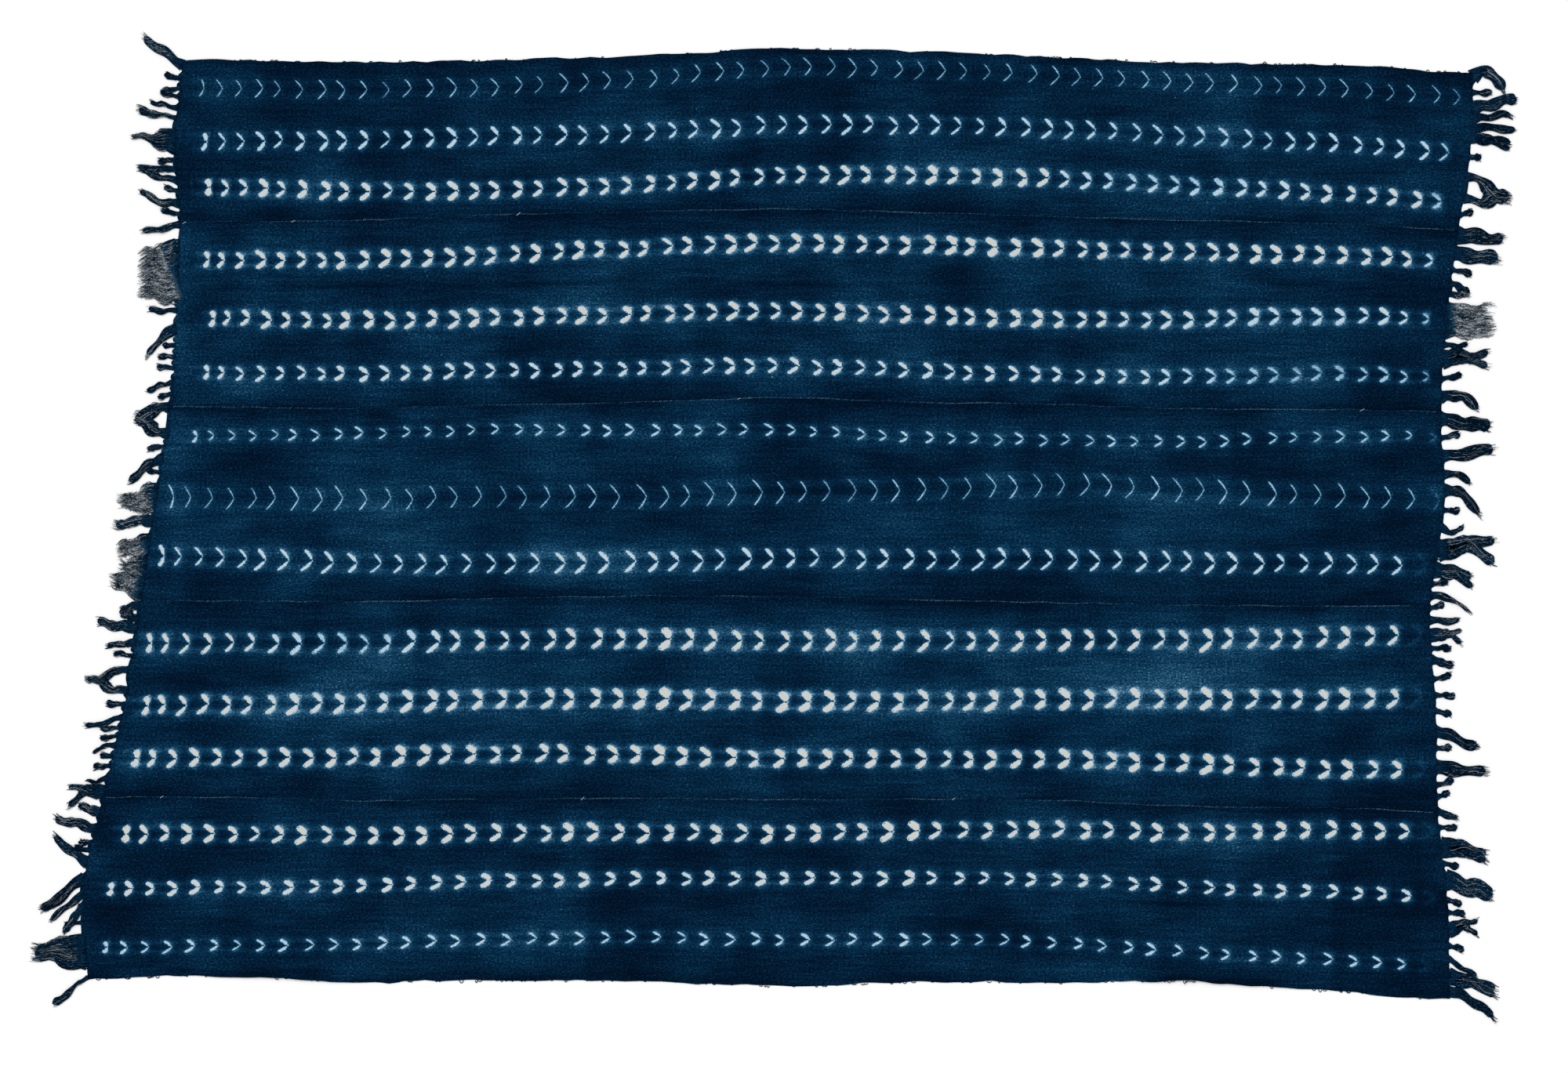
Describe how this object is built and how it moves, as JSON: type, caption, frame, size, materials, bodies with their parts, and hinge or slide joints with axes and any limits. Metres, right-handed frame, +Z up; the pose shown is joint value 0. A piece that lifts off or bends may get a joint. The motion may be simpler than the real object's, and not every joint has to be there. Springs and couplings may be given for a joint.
{
  "type": "indigo cloth",
  "caption": "Handwoven cotton cloth of long strips sewn edge to edge, indigo-dyed with rows of resist chevrons, twisted warp fringe at both ends, lying flat face up.",
  "frame": {"origin": "centre of the cloth's outline, fringes included, on the surface it lies on", "axes": "+X along the strips towards the right fringe, +Y across the strips towards the top edge, +Z up out of the cloth's face"},
  "size_m": [1.7679, 1.1754, 0.0047],
  "materials": {
    "indigo_cotton": "matte plain weave with cream resist marks",
    "fringe_cotton": "matte twisted and frayed yarn"
  },
  "bodies": {
    "root": {"strip_1": "indigo_cotton", "strip_2": "indigo_cotton", "strip_3": "indigo_cotton", "strip_4": "indigo_cotton", "strip_5": "indigo_cotton", "fringe_left": "fringe_cotton", "fringe_right": "fringe_cotton"}
  },
  "joints": []
}
